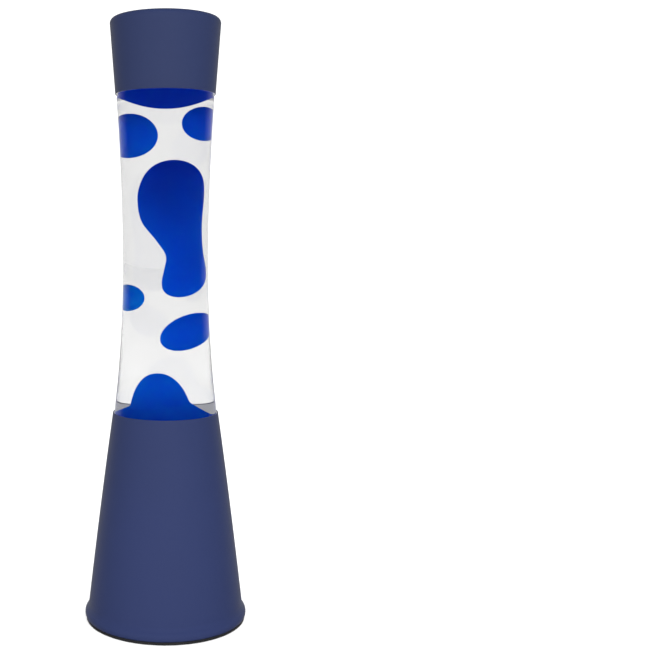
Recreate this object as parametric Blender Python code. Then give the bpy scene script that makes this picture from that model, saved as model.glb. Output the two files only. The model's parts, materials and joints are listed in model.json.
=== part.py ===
"""A lava lamp: a tapered metal base, a waisted glass bottle of wax and liquid, and a metal cap.

The origin is the centre of the base's underside on the lamp's axis, +Z is up, and -Y is the front.
Lengths are in metres. Outlines are lists of (radius, height) about the lamp's axis.
"""

import math

import bmesh
import bpy
from mathutils import Matrix, Vector

# Driving dimensions
LAMP_HEIGHT = 0.395
SEGMENTS = 24
SMALL_SEGMENTS = 16
GAP = 0.0003  # between pieces that touch
WALL = 0.0008  # spun metal

RIM_HEIGHT = 0.1395  # top of the base
RIM_RADIUS = 0.0349
FLANK_FOOT_RADIUS = 0.0514  # where the base's flank meets its foot bead
FLANK_FOOT_HEIGHT = 0.0112
BEAD_RADIUS = 0.0047  # the rolled bead round the foot
BEAD_REACH = 0.0540  # the lamp's largest radius
LIP_HEIGHT = 0.0022
LIP_INNER_RADIUS = 0.0490
FLANK_SWELL = 0.0004  # how far the flank bows out from a straight cone

CAP_RIM_HEIGHT = 0.3470
CAP_RIM_RADIUS = 0.03255
CAP_TOP_RADIUS = 0.0359
CAP_CORNER_RADIUS = 0.0032

WAIST_RADIUS = 0.0279
WAIST_HEIGHT = 0.238
FLARE_BELOW = 0.193  # how quickly the bottle opens out under and over its waist
FLARE_ABOVE = 0.141
GLASS = 0.0026
BOTTLE_FLOOR = 0.110
BOTTLE_FOOT_RADIUS = 0.0337
HEEL_RADIUS = 0.0060
SHOULDER_HEIGHT = 0.344
SHOULDER_RADIUS = 0.0140
NECK_RADIUS = 0.0118
FINISH_RADIUS = 0.0130  # the bead that the crown cap grips
BOTTLE_MOUTH = 0.388

WAX_CLEARANCE = 0.0005
POOL_LEVEL = 0.1300
SKIRT_RADIUS = 0.0150  # where the wax under the dome starts to spread
SKIRT_HEIGHT = 0.1450
SKIRT_SLOPE = 0.88
SKIRT_DROP = 0.0045  # how much lower it starts on the left
POOL_LAP = 0.0042  # how far the pool laps up the glass on the left
DOME_MIDDLE = -0.0025
DOME_LEAN = 0.0014
DOME_RADIUS = 0.0156
DOME_ROOT = 0.1330
MOUND_TOP = 0.1653
HANGING_POOL_FLOOR = 0.3377
HANGING_POOL_EDGE = 0.3498
HANGING_POOL_TOP = 0.3530
LARGE_BLOB = [  # (height, x of its middle, radius) from its foot to its top
    (0.2157, 0.0068, 0.0165),
    (0.2250, 0.0090, 0.0140),
    (0.2340, 0.0100, 0.0114),
    (0.2430, 0.0097, 0.0097),
    (0.2530, 0.0068, 0.0115),
    (0.2650, 0.0032, 0.0149),
    (0.2800, 0.0026, 0.0167),
    (0.2950, 0.0038, 0.0179),
    (0.3050, 0.0044, 0.0190),
]
COIL_RADIUS = 0.0235  # of the ring that the coil follows
COIL_TURN_RADIUS = 0.0021
COIL_WIRE_RADIUS = 0.0005
COIL_TURNS = 14

SEAT_HEIGHT = 0.1080
SEAT_OPENING = 0.0240
SEAT_THICKNESS = 0.0010
SEAT_SKIRT = 0.0090  # the rim turned down against the shell
SEAT_HEM = 0.0035  # the rim turned down round the opening
PLATE_BOTTOM = 0.0033
PLATE_THICKNESS = 0.0012
PLATE_RADIUS = 0.0502
SCREW_CIRCLE = 0.0430
SCREW_HOLE_RADIUS = 0.0019
VENTS = 12
LUG_WIDTH = 0.0080

BRACKET_TOP = 0.0200
BRACKET_THICKNESS = 0.0012
BRACKET_WIDTH = 0.0200
BRACKET_SCREW_REACH = 0.0310  # from the axis
TERMINAL_REACH = 0.0300
TERMINAL_SIZE = (0.018, 0.010, 0.010)
TERMINAL_HALF_PITCH = 0.0045  # from the block's middle to each of its screws
HOLDER_BOTTOM = 0.0203
HOLDER_TOP = 0.0520
HOLDER_RADIUS = 0.0135
SLEEVE_RADIUS = 0.0079

THREAD_PITCH = 0.002822  # small Edison screw
THREAD_DEPTH = 0.0008
THREAD_MINOR_RADIUS = 0.0061
THREAD_PLAY = 0.00045
THREAD_SEGMENTS = 16
BULB_TIP = 0.0355
BULB_TOP = 0.0975
BULB_RADIUS = 0.0195
BULB_GLASS = 0.0007

INLET_HEIGHT = 0.0150
INLET_HOLE_RADIUS = 0.0046


def clear_scene():
    for old in list(bpy.data.objects):
        bpy.data.objects.remove(old, do_unlink=True)


def look(name, colour, roughness, metallic=0.0, transmission=0.0):
    """A Principled material."""
    material = bpy.data.materials.new(name)
    material.use_nodes = True
    shader = material.node_tree.nodes["Principled BSDF"]
    shader.inputs["Base Color"].default_value = (*colour, 1.0)
    shader.inputs["Roughness"].default_value = roughness
    shader.inputs["Metallic"].default_value = metallic
    shader.inputs["Transmission Weight"].default_value = transmission
    return material


def place(name, bm, material):
    """Turns a bmesh into a smooth-shaded object with its normals outward."""
    bmesh.ops.recalc_face_normals(bm, faces=bm.faces)
    mesh = bpy.data.meshes.new(name)
    bm.to_mesh(mesh)
    bm.free()
    mesh.shade_smooth()
    mesh.set_sharp_from_angle(angle=math.radians(35))
    mesh.materials.append(material)
    item = bpy.data.objects.new(name, mesh)
    bpy.context.scene.collection.objects.link(item)
    return item


def turned(name, outline, material, segments=SEGMENTS):
    """A solid of revolution about the lamp's axis. An outline that starts and ends on the axis stays open."""
    bm = bmesh.new()
    points = [bm.verts.new((radius, 0.0, height)) for radius, height in outline]
    ends = list(zip(points, points[1:]))
    if outline[0][0] > 0 or outline[-1][0] > 0:
        ends.append((points[-1], points[0]))
    edges = [bm.edges.new(pair) for pair in ends]
    bmesh.ops.spin(
        bm,
        geom=points + edges,
        cent=(0, 0, 0),
        axis=(0, 0, 1),
        angle=math.tau,
        steps=segments,
        use_merge=True,
    )
    bmesh.ops.remove_doubles(bm, verts=bm.verts, dist=1e-6)
    return place(name, bm, material)


def lofted(name, rings, material, hollow=False):
    """A solid through rings of points. A hollow one closes on its first ring, and others have flat ends."""
    bm = bmesh.new()
    loops = [[bm.verts.new(point) for point in ring] for ring in rings]
    count = len(loops[0])
    pairs = list(zip(loops, loops[1:]))
    if hollow:
        pairs.append((loops[-1], loops[0]))
    else:
        bm.faces.new(loops[0])
        bm.faces.new(loops[-1])
    for low, high in pairs:
        for i in range(count):
            j = (i + 1) % count
            bm.faces.new((low[i], low[j], high[j], high[i]))
    return place(name, bm, material)


def tube(name, points, radius, material, cyclic=False, resolution=0):
    """A round wire along points."""
    curve = bpy.data.curves.new(name, "CURVE")
    curve.dimensions = "3D"
    curve.bevel_depth = radius
    curve.bevel_resolution = resolution
    curve.use_fill_caps = True
    spline = curve.splines.new("POLY")
    spline.points.add(len(points) - 1)
    for spot, point in zip(spline.points, points):
        spot.co = (*point, 1.0)
    spline.use_cyclic_u = cyclic
    spline.use_smooth = True
    curve.materials.append(material)
    item = bpy.data.objects.new(name, curve)
    bpy.context.scene.collection.objects.link(item)
    return item


def cut(item, cutter_mesh):
    """Takes the shapes in a bmesh away from item with a Boolean."""
    bmesh.ops.recalc_face_normals(cutter_mesh, faces=cutter_mesh.faces)
    mesh = bpy.data.meshes.new(item.name + "_cutter")
    cutter_mesh.to_mesh(mesh)
    cutter_mesh.free()
    cutter = bpy.data.objects.new(mesh.name, mesh)
    cutter.hide_render = True
    cutter.display_type = "WIRE"
    bpy.context.scene.collection.objects.link(cutter)
    boolean = item.modifiers.new("cut", "BOOLEAN")
    boolean.operation = "DIFFERENCE"
    boolean.solver = "EXACT"
    boolean.object = cutter


def add_box(bm, size, matrix):
    bmesh.ops.create_cube(bm, size=1.0, matrix=matrix @ Matrix.Diagonal((*size, 1.0)))


def add_rod(bm, radius, length, matrix, segments=12):
    bmesh.ops.create_cone(
        bm, cap_ends=True, segments=segments, radius1=radius, radius2=radius, depth=length, matrix=matrix
    )


def arc(centre, radius, start, end, steps):
    """Points on an arc, with angles in degrees from the outward radius towards up."""
    points = []
    for i in range(steps + 1):
        angle = math.radians(start + (end - start) * i / steps)
        points.append((centre[0] + radius * math.cos(angle), centre[1] + radius * math.sin(angle)))
    return points


def offset(outline, distance):
    """The outline moved to its left by distance, with mitred corners."""
    ends = [Vector(point) for point in outline]
    sides = []
    for a, b in zip(ends, ends[1:]):
        along = (b - a).normalized()
        sides.append(Vector((-along.y, along.x)))
    moved = []
    for i, point in enumerate(ends):
        before = sides[max(i - 1, 0)]
        after = sides[min(i, len(sides) - 1)]
        mitre = (before + after).normalized()
        moved.append(tuple(point + mitre * (distance / mitre.dot(after))))
    return moved


def walled(outline, thickness):
    """A closed outline of a sheet. Its given side runs upwards on the outside, and the sheet lies within."""
    return outline + offset(outline, thickness)[::-1]


def smooth_path(knots, per_span):
    """Points on a Catmull-Rom curve through the knots."""
    ends = [Vector(knot) for knot in knots]
    ends = [2 * ends[0] - ends[1], *ends, 2 * ends[-1] - ends[-2]]
    points = []
    for a, b, c, d in zip(ends, ends[1:], ends[2:], ends[3:]):
        slope = c - a
        bend = 2 * a - 5 * b + 4 * c - d
        twist = 3 * b - a - 3 * c + d
        for i in range(per_span):
            t = i / per_span
            points.append(0.5 * (2 * b + slope * t + bend * t**2 + twist * t**3))
    return points + [ends[-2]]


def round_the_axis(position, angle):
    """A matrix that turns about the lamp's axis by angle and then moves out to position along the new X."""
    return Matrix.Rotation(angle, 4, "Z") @ Matrix.Translation(position)


def bottle_radius(height):
    """The outside of the bottle between the foot and the shoulder: a hyperbola to each side of the waist."""
    from_waist = height - WAIST_HEIGHT
    flare = FLARE_ABOVE if from_waist > 0 else FLARE_BELOW
    return math.hypot(WAIST_RADIUS, flare * from_waist)


def base_flank():
    """The base's flank from the bead up to the rim, bowed out a little."""
    points = []
    for i in range(7):
        share = i / 6
        radius = FLANK_FOOT_RADIUS + (RIM_RADIUS - FLANK_FOOT_RADIUS) * share
        height = FLANK_FOOT_HEIGHT + (RIM_HEIGHT - FLANK_FOOT_HEIGHT) * share
        points.append((radius + FLANK_SWELL * 4 * share * (1 - share), height))
    return points


def base_shell(paint):
    bead = (BEAD_REACH - BEAD_RADIUS, LIP_HEIGHT + 0.0024)
    outline = [(LIP_INNER_RADIUS, LIP_HEIGHT)]
    outline += arc(bead, BEAD_RADIUS, -30, 45, 5)
    outline += base_flank()
    shell = turned("base_shell", walled(outline, WALL), paint)
    hole = bmesh.new()
    along_y = Matrix.Translation((0, FLANK_FOOT_RADIUS, INLET_HEIGHT)) @ Matrix.Rotation(math.pi / 2, 4, "X")
    add_rod(hole, INLET_HOLE_RADIUS, 0.012, along_y, segments=16)
    cut(shell, hole)


def inlet_grommet(rubber):
    """The grommet in the rear of the base that a cord would come through, on the flank's slant."""
    slant = math.atan2(FLANK_FOOT_RADIUS - RIM_RADIUS, RIM_HEIGHT - FLANK_FOOT_HEIGHT)
    inward = -0.0018  # the groove's sides, from the middle of the shell's wall
    outward = 0.0010
    flange = 0.0014
    groove_radius = INLET_HOLE_RADIUS - 0.0004
    outline = [
        (0.0026, inward - flange),
        (0.0060, inward - flange),
        (0.0060, inward),
        (groove_radius, inward),
        (groove_radius, outward),
        (0.0058, outward),
        (0.0050, outward + flange),
        (0.0026, outward + flange),
    ]
    grommet = turned("inlet_grommet", outline, rubber, SMALL_SEGMENTS)
    wall_radius = FLANK_FOOT_RADIUS - WALL / 2 - (INLET_HEIGHT - FLANK_FOOT_HEIGHT) * math.tan(slant)
    grommet.matrix_world = Matrix.Translation((0, wall_radius, INLET_HEIGHT)) @ Matrix.Rotation(
        -math.pi / 2 + slant, 4, "X"
    )


def foot_ring(rubber):
    outer = BEAD_REACH - 0.0008
    inner = LIP_INNER_RADIUS - 0.0025
    top = LIP_HEIGHT - GAP
    outline = [
        (inner, 0.0),
        (outer - 0.0005, 0.0),
        (outer, 0.0005),
        (outer, top),
        (LIP_INNER_RADIUS - 0.0004, top),
        (LIP_INNER_RADIUS - 0.0004, PLATE_BOTTOM - GAP),
        (inner, PLATE_BOTTOM - GAP),
    ]
    turned("foot_ring", outline, rubber)


def base_plate(steel):
    """The disc that closes the base, with vents round the bulb holder and holes for its screws."""
    top = PLATE_BOTTOM + PLATE_THICKNESS
    outline = [(0.0, PLATE_BOTTOM), (PLATE_RADIUS, PLATE_BOTTOM), (PLATE_RADIUS, top), (0.0, top)]
    plate = turned("base_plate", outline, steel)
    holes = bmesh.new()
    middle = PLATE_BOTTOM + PLATE_THICKNESS / 2
    for i in range(VENTS):
        angle = math.tau * (i + 0.5) / VENTS
        add_box(holes, (0.011, 0.0035, 0.006), round_the_axis((0.0185, 0, middle), angle))
    for angle in plate_screw_angles():
        spot = round_the_axis((SCREW_CIRCLE, 0, middle), angle)
        add_rod(holes, SCREW_HOLE_RADIUS, 0.006, spot, segments=10)
    for side in (-1, 1):
        spot = Matrix.Translation((side * BRACKET_SCREW_REACH, 0, middle))
        add_rod(holes, 0.0016, 0.006, spot, segments=10)
    cut(plate, holes)


def plate_screw_angles():
    return [math.radians(60 + 120 * i) for i in range(3)]


def screw(name, position, head_radius, head_height, shank_radius, shank_length, steel, head_up=True):
    """A pan-head screw whose head sits on position, pointing down, or up if head_up is False."""
    outline = [
        (0.0, -shank_length),
        (shank_radius * 0.5, -shank_length),
        (shank_radius, -shank_length + shank_radius),
        (shank_radius, 0.0),
        (head_radius, 0.0),
        (head_radius, head_height * 0.5),
        (head_radius * 0.6, head_height),
        (0.0, head_height),
    ]
    item = turned(name, outline, steel, segments=12)
    turn = Matrix.Identity(4) if head_up else Matrix.Rotation(math.pi, 4, "X")
    item.matrix_world = Matrix.Translation(position) @ turn


def plate_fixings(steel):
    """Three lugs on the inside of the base, and the screws that hold the plate to them from below."""
    low = PLATE_BOTTOM + PLATE_THICKNESS + GAP
    for i, angle in enumerate(plate_screw_angles()):
        bm = bmesh.new()
        outline = [(0.0395, low), (0.0494, low), (0.0494, 0.0120), (0.0483, 0.0120), (0.0483, low + 0.0011)]
        outline += [(0.0395, low + 0.0011)]
        ends = []
        for side in (-LUG_WIDTH / 2, LUG_WIDTH / 2):
            ends.append([bm.verts.new((radius, side, height)) for radius, height in outline])
        bm.faces.new(ends[0])
        bm.faces.new(ends[1])
        for j in range(len(outline)):
            k = (j + 1) % len(outline)
            bm.faces.new((ends[0][j], ends[0][k], ends[1][k], ends[1][j]))
        bmesh.ops.rotate(bm, verts=bm.verts, cent=(0, 0, 0), matrix=Matrix.Rotation(angle, 3, "Z"))
        lug = place(f"plate_lug_{i + 1}", bm, steel)
        hole = bmesh.new()
        add_rod(hole, SCREW_HOLE_RADIUS, 0.006, round_the_axis((SCREW_CIRCLE, 0, low), angle), segments=10)
        cut(lug, hole)
        spot = round_the_axis((SCREW_CIRCLE, 0, PLATE_BOTTOM - GAP), angle).translation
        screw(f"plate_screw_{i + 1}", spot, 0.0028, 0.0014, 0.0015, 0.0072, steel, head_up=False)


def bottle_seat(steel, silicone):
    """The ring inside the base that carries the bottle, with its soft gasket."""
    slope = (FLANK_FOOT_RADIUS - RIM_RADIUS) / (RIM_HEIGHT - FLANK_FOOT_HEIGHT)
    clear = WALL + GAP + 0.0001
    low = SEAT_HEIGHT - SEAT_SKIRT
    hem = SEAT_HEIGHT - SEAT_HEM

    def against_shell(height):
        return RIM_RADIUS + slope * (RIM_HEIGHT - height) - clear

    outline = [
        (against_shell(low) - SEAT_THICKNESS, low),
        (against_shell(low), low),
        (against_shell(SEAT_HEIGHT), SEAT_HEIGHT),
        (SEAT_OPENING, SEAT_HEIGHT),
        (SEAT_OPENING, hem),
        (SEAT_OPENING + SEAT_THICKNESS, hem),
        (SEAT_OPENING + SEAT_THICKNESS, SEAT_HEIGHT - SEAT_THICKNESS),
        (against_shell(SEAT_HEIGHT) - SEAT_THICKNESS, SEAT_HEIGHT - SEAT_THICKNESS),
    ]
    turned("bottle_seat", outline, steel)
    low = SEAT_HEIGHT + GAP
    high = BOTTLE_FLOOR - GAP
    gasket = [(SEAT_OPENING + 0.0006, low), (0.0315, low), (0.0315, high), (SEAT_OPENING + 0.0006, high)]
    turned("seat_gasket", gasket, silicone)


def holder_bracket(steel):
    """A strip folded into a hat that stands on the plate and carries the bulb holder."""
    foot = PLATE_BOTTOM + PLATE_THICKNESS + GAP
    top = BRACKET_TOP
    thick = BRACKET_THICKNESS
    outer = [(-0.037, foot), (-0.037, foot + thick), (-0.0262, foot + thick), (-0.0222, top)]
    outer += [(-x, z) for x, z in outer[::-1]]
    inner = [(0.025, foot), (0.0211, top - thick), (-0.0211, top - thick), (-0.025, foot)]
    bm = bmesh.new()
    half = BRACKET_WIDTH / 2
    sides = [[bm.verts.new((x, y, z)) for x, z in outer + inner] for y in (-half, half)]
    bm.faces.new(sides[0])
    bm.faces.new(sides[1])
    for i in range(len(sides[0])):
        j = (i + 1) % len(sides[0])
        bm.faces.new((sides[0][i], sides[0][j], sides[1][j], sides[1][i]))
    bracket = place("holder_bracket", bm, steel)
    holes = bmesh.new()
    add_rod(holes, 0.0054, 0.006, Matrix.Translation((0, 0, top)), segments=20)
    for side in (-1, 1):
        add_rod(holes, 0.0018, 0.006, Matrix.Translation((side * BRACKET_SCREW_REACH, 0, foot)), segments=10)
    cut(bracket, holes)
    for number, side in ((1, -1), (2, 1)):
        spot = (side * BRACKET_SCREW_REACH, 0, foot + thick + GAP)
        screw(f"bracket_screw_{number}", spot, 0.0026, 0.0018, 0.0013, 0.0046, steel)


def hexagon(across_flats, height, count):
    """Points round a hexagon on the lamp's axis."""
    points = []
    for i in range(count):
        angle = math.tau * i / count
        from_flat = (angle + math.pi / 6) % (math.pi / 3) - math.pi / 6
        radius = across_flats / 2 / math.cos(from_flat)
        points.append((radius * math.cos(angle), radius * math.sin(angle), height))
    return points


def circle(radius, height, count):
    points = []
    for i in range(count):
        angle = math.tau * i / count
        points.append((radius * math.cos(angle), radius * math.sin(angle), height))
    return points


def bulb_holder(plastic, brass, steel):
    """The holder's body, its threaded sleeve and its centre contact, on a hollow bolt with a nut."""
    cavity = SLEEVE_RADIUS + GAP
    outline = [
        (0.0100, HOLDER_BOTTOM),
        (HOLDER_RADIUS - 0.0015, HOLDER_BOTTOM + 0.003),
        (HOLDER_RADIUS, HOLDER_BOTTOM + 0.009),
        (HOLDER_RADIUS, HOLDER_BOTTOM + 0.017),
        (0.0112, HOLDER_BOTTOM + 0.019),
        (0.0104, HOLDER_TOP),
        (cavity, HOLDER_TOP),
        (cavity, 0.0300),
        (0.0020, 0.0300),
        (0.0020, 0.0262),
        (0.0054, 0.0262),
        (0.0054, HOLDER_BOTTOM),
    ]
    turned("bulb_holder", outline, plastic, SMALL_SEGMENTS)
    bolt = [(0.0032, 0.0135), (0.0050, 0.0135), (0.0050, 0.0258), (0.0032, 0.0258)]
    turned("holder_bolt", bolt, brass, SMALL_SEGMENTS)
    nut_top = BRACKET_TOP - BRACKET_THICKNESS - GAP
    nut_low = nut_top - 0.0030
    rings = [hexagon(0.014, nut_low, 24), hexagon(0.014, nut_top, 24)]
    rings += [circle(0.0053, nut_top, 24), circle(0.0053, nut_low, 24)]
    lofted("holder_nut", rings, steel, hollow=True)
    contact = [
        (0.0, 0.0285),
        (0.0016, 0.0285),
        (0.0016, 0.0303),
        (0.0044, 0.0305),
        (0.0040, 0.0320),
        (0.0022, 0.0335),
        (0.0018, BULB_TIP - GAP),
        (0.0, BULB_TIP - GAP),
    ]
    turned("holder_contact", contact, brass, segments=12)


def thread_ring(radius_at, height):
    """One ring of points on a threaded surface, with radius_at giving a radius from the thread's wave."""
    points = []
    for i in range(THREAD_SEGMENTS):
        angle = math.tau * i / THREAD_SEGMENTS
        wave = math.cos(math.tau * height / THREAD_PITCH - angle)
        radius = radius_at(wave)
        points.append((radius * math.cos(angle), radius * math.sin(angle), height))
    return points


def thread_rings(low, high, inside):
    """Rings up a round-form thread that fades out at both ends: the bulb's, or the holder's around it."""
    steps = round((high - low) / THREAD_PITCH * 5)
    rings = []
    for i in range(steps + 1):
        height = low + (high - low) * i / steps
        to_end = min(height - low, high - height)
        fade = min(1.0, to_end / (THREAD_PITCH / 2))
        if inside:
            crest = THREAD_MINOR_RADIUS + THREAD_DEPTH + THREAD_PLAY
            rings.append(thread_ring(lambda wave: crest - THREAD_DEPTH / 2 * (1 - wave) * fade, height))
        else:
            rings.append(
                thread_ring(lambda wave: THREAD_MINOR_RADIUS + THREAD_DEPTH / 2 * (1 + wave) * fade, height)
            )
    return rings


def holder_sleeve(brass):
    low = 0.0370
    high = HOLDER_TOP - 0.0010
    rings = thread_rings(low, high, inside=True)
    rings.append(circle(SLEEVE_RADIUS, high, THREAD_SEGMENTS))
    rings.append(circle(SLEEVE_RADIUS, low, THREAD_SEGMENTS))
    lofted("holder_sleeve", rings, brass, hollow=True)


def bulb(glass, brass, black, tungsten, steel):
    """A small reflector bulb with an Edison screw."""
    shell_low = BULB_TIP + 0.0040
    shell_high = HOLDER_TOP + 0.0036
    bore = THREAD_MINOR_RADIUS - 0.0005
    rings = thread_rings(shell_low, HOLDER_TOP - 0.0008, inside=False)
    rings.append(circle(THREAD_MINOR_RADIUS, HOLDER_TOP, THREAD_SEGMENTS))
    rings.append(circle(0.0078, shell_high - 0.0004, THREAD_SEGMENTS))
    rings.append(circle(0.0074, shell_high, THREAD_SEGMENTS))
    rings.append(circle(bore + 0.0008, shell_high, THREAD_SEGMENTS))
    rings.append(circle(bore, HOLDER_TOP, THREAD_SEGMENTS))
    rings.append(circle(bore, shell_low, THREAD_SEGMENTS))
    lofted("bulb_screw_shell", rings, brass, hollow=True)

    insulator = [
        (0.0026, BULB_TIP + 0.0008),
        (0.0058, shell_low - GAP),
        (0.0052, shell_low - GAP),
        (0.0052, shell_low + 0.0012),
        (0.0026, shell_low + 0.0012),
    ]
    turned("bulb_insulator", insulator, black, SMALL_SEGMENTS)
    tip = [
        (0.0, BULB_TIP),
        (0.0015, BULB_TIP + 0.0002),
        (0.0022, BULB_TIP + 0.0009),
        (0.0022, BULB_TIP + 0.0018),
        (0.0, BULB_TIP + 0.0022),
    ]
    turned("bulb_tip_contact", tip, steel, segments=12)

    neck = bore - GAP
    dome = BULB_TOP - 0.0060
    outline = [(neck, shell_high - 0.0035), (neck, shell_high + 0.0012), (0.0085, shell_high + 0.0070)]
    outline += [(0.0150, dome - 0.0130), (0.0185, dome - 0.0050), (BULB_RADIUS, dome)]
    for i in range(1, 6):
        angle = math.pi / 2 * i / 6
        outline.append((BULB_RADIUS * math.cos(angle), dome + (BULB_TOP - dome) * math.sin(angle)))
    inner = offset(outline, BULB_GLASS)[::-1]
    closed = [*outline, (0.0, BULB_TOP), (0.0, BULB_TOP - BULB_GLASS), *inner]
    turned("bulb_glass", closed, glass, SMALL_SEGMENTS)

    stem_low = shell_low + 0.0060
    stem_top = shell_high + 0.0120
    stem = [(0.0, stem_low), (0.0040, stem_low), (0.0042, shell_high - 0.0020), (0.0022, shell_high + 0.0040)]
    turned("bulb_stem", stem + [(0.0018, stem_top), (0.0, stem_top)], glass, segments=12)
    lamp_height = dome - 0.0080
    for number, side in ((1, -1), (2, 1)):
        knots = [
            (side * 0.0029, 0, shell_high + 0.0050),
            (side * 0.0036, 0, stem_top),
            (side * 0.0070, 0, lamp_height - 0.0040),
            (side * 0.0074, 0, lamp_height - 0.0004),
        ]
        tube(f"filament_support_{number}", smooth_path(knots, 2), 0.0003, steel)
    filament = []
    for i in range(49):
        share = i / 48
        angle = math.tau * share * 8
        x = 0.0066 * (2 * share - 1)
        sag = -0.0012 * (1 - (2 * share - 1) ** 2)
        y = 0.0006 * math.cos(angle)
        filament.append((x, y, lamp_height + sag + 0.0006 * math.sin(angle)))
    tube("filament", filament, 0.00012, tungsten)


def mains_parts(plastic, steel, brown, blue):
    """The terminal block at the rear of the plate and the two leads from it to the bulb holder."""
    low = PLATE_BOTTOM + PLATE_THICKNESS + GAP
    bm = bmesh.new()
    add_box(bm, TERMINAL_SIZE, Matrix.Translation((0, TERMINAL_REACH, low + TERMINAL_SIZE[2] / 2)))
    block = place("terminal_block", bm, plastic)
    wells = bmesh.new()
    for side in (-1, 1):
        well = Matrix.Translation((side * TERMINAL_HALF_PITCH, TERMINAL_REACH, low + 0.011))
        add_rod(wells, SCREW_HOLE_RADIUS, 0.010, well, segments=12)
    cut(block, wells)
    for number, side, colour in ((1, -1, brown), (2, 1, blue)):
        spot = (side * TERMINAL_HALF_PITCH, TERMINAL_REACH, low + 0.0080)
        screw(f"terminal_screw_{number}", spot, 0.0015, 0.0012, 0.0011, 0.0014, steel)
        knots = [
            (side * TERMINAL_HALF_PITCH, 0.0244, low + 0.0050),
            (side * 0.0048, 0.0232, low + 0.0052),
            (side * 0.0058, 0.0212, low + 0.0085),
            (side * 0.0065, 0.0190, low + 0.0150),
            (side * 0.0058, 0.0165, low + 0.0220),
            (side * 0.0040, 0.0136, low + 0.0255),
        ]
        name = "lead_live" if side < 0 else "lead_neutral"
        tube(name, smooth_path(knots, 2), 0.0009, colour, resolution=1)


def bottle_outline():
    """The outside of the bottle from the middle of its floor up to its mouth."""
    heel = (BOTTLE_FOOT_RADIUS - HEEL_RADIUS, BOTTLE_FLOOR + HEEL_RADIUS)
    outline = [(0.0, BOTTLE_FLOOR + 0.0012), (0.0200, BOTTLE_FLOOR + 0.0004)]
    outline += arc(heel, HEEL_RADIUS, -90, 0, 4)
    for i in range(10):
        height = RIM_HEIGHT + (SHOULDER_HEIGHT - RIM_HEIGHT) * i / 9
        outline.append((bottle_radius(height), height))
    reach = bottle_radius(SHOULDER_HEIGHT) - SHOULDER_RADIUS
    outline += arc((reach, SHOULDER_HEIGHT), SHOULDER_RADIUS, 15, 75, 4)
    fillet_top = outline[-1][1] + 0.0045
    outline.append((NECK_RADIUS + 0.0022, outline[-1][1] + 0.0016))
    outline.append((NECK_RADIUS, fillet_top))
    outline += [(NECK_RADIUS, BOTTLE_MOUTH - 0.0070), (FINISH_RADIUS, BOTTLE_MOUTH - 0.0050)]
    outline += [(FINISH_RADIUS, BOTTLE_MOUTH - 0.0010), (FINISH_RADIUS - 0.0010, BOTTLE_MOUTH)]
    return outline


def wall_radius(height):
    """The inside of the bottle between its heel and the top of its shoulder."""
    if height <= SHOULDER_HEIGHT:
        return bottle_radius(max(height, RIM_HEIGHT)) - GLASS
    middle = bottle_radius(SHOULDER_HEIGHT) - SHOULDER_RADIUS
    turn = SHOULDER_RADIUS - GLASS
    return middle + math.sqrt(turn**2 - (height - SHOULDER_HEIGHT) ** 2)


def bottle(glass):
    outer = bottle_outline()
    floor = BOTTLE_FLOOR + GLASS + 0.0010
    inner = [(0.0, floor + 0.0010), (0.0200, floor), (BOTTLE_FOOT_RADIUS - HEEL_RADIUS, floor)]
    inner += offset(outer, GLASS)[4:-4]
    inner += [(0.0095, BOTTLE_MOUTH - 0.0060), (0.0095, BOTTLE_MOUTH)]
    turned("bottle_glass", outer + inner[::-1], glass)


def crown(tin, liner):
    """The crown cap that seals the bottle, with its soft liner."""
    low = BOTTLE_MOUTH + GAP
    high = low + 0.0008
    turned("crown_liner", [(0.0, low), (0.0122, low), (0.0122, high), (0.0, high)], liner, SMALL_SEGMENTS)
    top = high + GAP
    outer = [(0.0157, BOTTLE_MOUTH - 0.0052), (0.0145, BOTTLE_MOUTH - 0.0030), (0.0139, top - 0.0004)]
    outer += [(0.0130, top + 0.0004), (0.0, top + 0.0004)]
    inner = [(0.0, top), (0.0127, top), (0.0134, top - 0.0008), (0.0141, BOTTLE_MOUTH - 0.0030)]
    inner += [(0.0153, BOTTLE_MOUTH - 0.0052)]
    turned("crown_cap", outer + inner, tin, SMALL_SEGMENTS)


def cap(paint, foam):
    corner = (CAP_TOP_RADIUS - CAP_CORNER_RADIUS, LAMP_HEIGHT - CAP_CORNER_RADIUS)
    outline = [(CAP_RIM_RADIUS, CAP_RIM_HEIGHT)]
    outline += arc(corner, CAP_CORNER_RADIUS, -4, 86, 6)
    inner = offset(outline, WALL * 0.75)[::-1]
    ceiling = LAMP_HEIGHT - WALL * 0.75
    turned("cap_shell", [*outline, (0.0, LAMP_HEIGHT), (0.0, ceiling), *inner], paint)
    low = BOTTLE_MOUTH + 0.0024
    high = ceiling - GAP
    turned("cap_foam_pad", [(0.0, low), (0.0200, low), (0.0200, high), (0.0, high)], foam)


def heating_coil(steel):
    """A wire wound round a ring on the floor of the bottle."""
    height = BOTTLE_FLOOR + GLASS + 0.0020 + COIL_TURN_RADIUS + COIL_WIRE_RADIUS + GAP
    points = []
    count = COIL_TURNS * 6
    for i in range(count):
        round_ring = math.tau * i / count
        round_turn = math.tau * i / 6
        reach = COIL_RADIUS + COIL_TURN_RADIUS * math.cos(round_turn)
        level = height + COIL_TURN_RADIUS * math.sin(round_turn)
        points.append((reach * math.cos(round_ring), reach * math.sin(round_ring), level))
    tube("heating_coil", points, COIL_WIRE_RADIUS, steel, cyclic=True)


def press_inside(points):
    """Points moved towards the axis until they lie clear of the bottle's wall."""
    pressed = []
    for x, y, z in points:
        reach = math.hypot(x, y)
        most = wall_radius(z) - WAX_CLEARANCE
        share = min(1.0, most / reach) if reach > 0 else 1.0
        pressed.append((x * share, y * share, z))
    return pressed


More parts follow.
